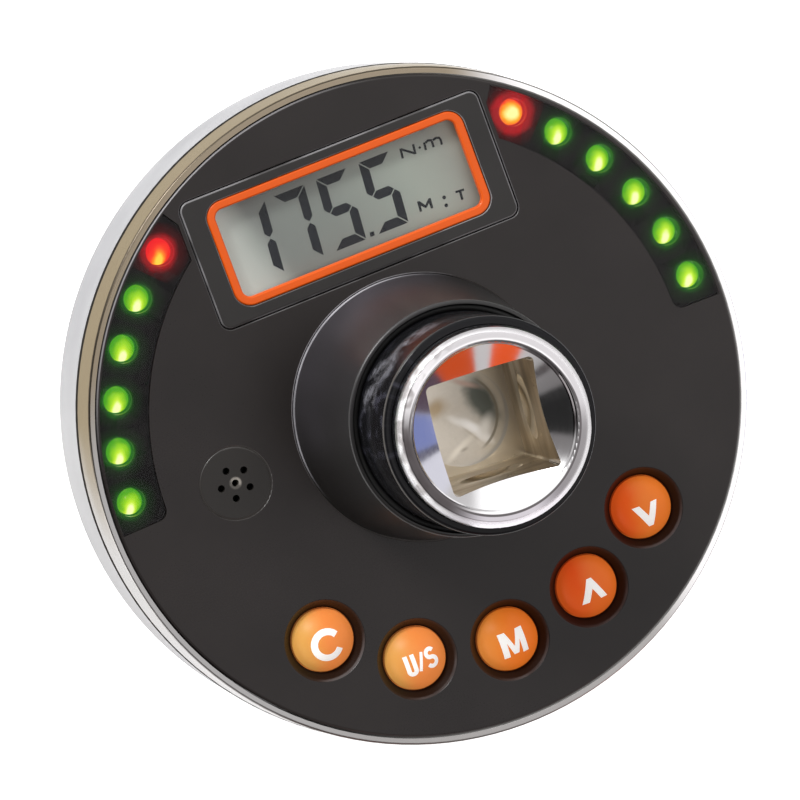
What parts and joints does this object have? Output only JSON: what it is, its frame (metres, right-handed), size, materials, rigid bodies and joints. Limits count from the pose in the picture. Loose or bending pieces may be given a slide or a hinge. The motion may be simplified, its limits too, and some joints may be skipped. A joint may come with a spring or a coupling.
{
  "type": "digital torque tester",
  "caption": "Disc-shaped digital torque meter with display, push buttons and indicator lights round a square-drive spindle, female socket in front and male square behind.",
  "frame": {"origin": "centre of the male drive square's end face, the lowest face of the part", "axes": "+Z is the drive axis out of the face, +X is to the right of the display and +Y is up on it"},
  "size_m": [0.0852, 0.0852, 0.0717],
  "materials": {
    "polished_steel": "bright chrome plate",
    "plain_steel": "bright zinc",
    "spring_steel": "drawn wire",
    "black_moulding": "fine satin texture",
    "black_collar": "satin",
    "gloss_black": "high gloss",
    "bush_polymer": "natural",
    "seal_rubber": "smooth",
    "bezel_metal": "polished",
    "band_metal": "fine satin, clear anodised",
    "board_laminate": "green solder mask",
    "orange_trim": "gloss",
    "clear_window": "clear",
    "display_glass": "grey-green, satin polariser",
    "white_moulding": "satin",
    "contact_rubber": "matte",
    "smoked_window": "gloss, smoked",
    "red_lens": "translucent red",
    "green_lens": "translucent green",
    "orange_button": "satin",
    "cell_steel": "nickel plate",
    "contact_brass": "plated strip",
    "foil_polymer": "amber film",
    "chip_resin": "matte"
  },
  "bodies": {
    "head": {"drive_spindle": "polished_steel", "detent_spring": "spring_steel", "hub_collar": "black_collar", "hub_bush": "bush_polymer", "hub_sleeve": "gloss_black", "collar_seal": "seal_rubber", "collar_screws": "plain_steel", "front_cover": "black_moulding", "bezel_ring": "bezel_metal", "case_gasket": "seal_rubber", "case_band": "band_metal", "rear_cover": "black_moulding", "rear_seal": "seal_rubber", "case_screws": "plain_steel", "circuit_board": "board_laminate", "display_surround": "black_moulding", "display_frame": "orange_trim", "display_window": "clear_window", "lcd_panel": "display_glass", "lcd_holder": "white_moulding", "contact_strips": "contact_rubber", "indicator_window_left": "smoked_window", "indicator_window_right": "smoked_window", "red_lights": "red_lens", "green_lights": "green_lens", "buzzer_grille": "gloss_black", "buzzer": "chip_resin", "button_switches": "chip_resin", "coin_cells": "cell_steel", "cell_springs": "contact_brass", "cell_clips": "contact_brass", "strain_gauges": "foil_polymer", "gauge_lead": "foil_polymer", "lead_connector": "white_moulding", "processor_chip": "chip_resin", "gauge_amplifier": "chip_resin", "motion_sensor": "chip_resin", "crystal": "cell_steel"},
    "detent_ball": {"detent_ball": "polished_steel"},
    "battery_cap_left": {"battery_cap_left": "black_moulding", "battery_seal_left": "seal_rubber"},
    "battery_cap_right": {"battery_cap_right": "black_moulding", "battery_seal_right": "seal_rubber"},
    "button_clear": {"button_clear": "orange_button", "plunger_clear": "chip_resin"},
    "button_units": {"button_units": "orange_button", "plunger_units": "chip_resin"},
    "button_mode": {"button_mode": "orange_button", "plunger_mode": "chip_resin"},
    "button_up": {"button_up": "orange_button", "plunger_up": "chip_resin"},
    "button_down": {"button_down": "orange_button", "plunger_down": "chip_resin"}
  },
  "joints": [
    {"name": "press_clear", "type": "slide", "parent": "head", "child": "button_clear", "axis": [0, 0, -1], "range_m": [0, 0.0005], "stiffness_N_per_m": 2000},
    {"name": "press_units", "type": "slide", "parent": "head", "child": "button_units", "axis": [0, 0, -1], "range_m": [0, 0.0005], "stiffness_N_per_m": 2000},
    {"name": "press_mode", "type": "slide", "parent": "head", "child": "button_mode", "axis": [0, 0, -1], "range_m": [0, 0.0005], "stiffness_N_per_m": 2000},
    {"name": "press_up", "type": "slide", "parent": "head", "child": "button_up", "axis": [0, 0, -1], "range_m": [0, 0.0005], "stiffness_N_per_m": 2000},
    {"name": "press_down", "type": "slide", "parent": "head", "child": "button_down", "axis": [0, 0, -1], "range_m": [0, 0.0005], "stiffness_N_per_m": 2000},
    {"name": "detent_ball_slide", "type": "slide", "parent": "head", "child": "detent_ball", "axis": [0, 1, 0], "range_m": [0, 0.001], "stiffness_N_per_m": 3000, "deforming": ["detent_spring"]},
    {"name": "battery_cap_turn_left", "type": "hinge", "parent": "head", "child": "battery_cap_left", "pos_m": [-0.0284, 0, 0.02], "axis": [0, 0, -1], "range_deg": [0, 50]},
    {"name": "battery_cap_turn_right", "type": "hinge", "parent": "head", "child": "battery_cap_right", "pos_m": [0.0284, 0, 0.02], "axis": [0, 0, -1], "range_deg": [0, 50]}
  ]
}
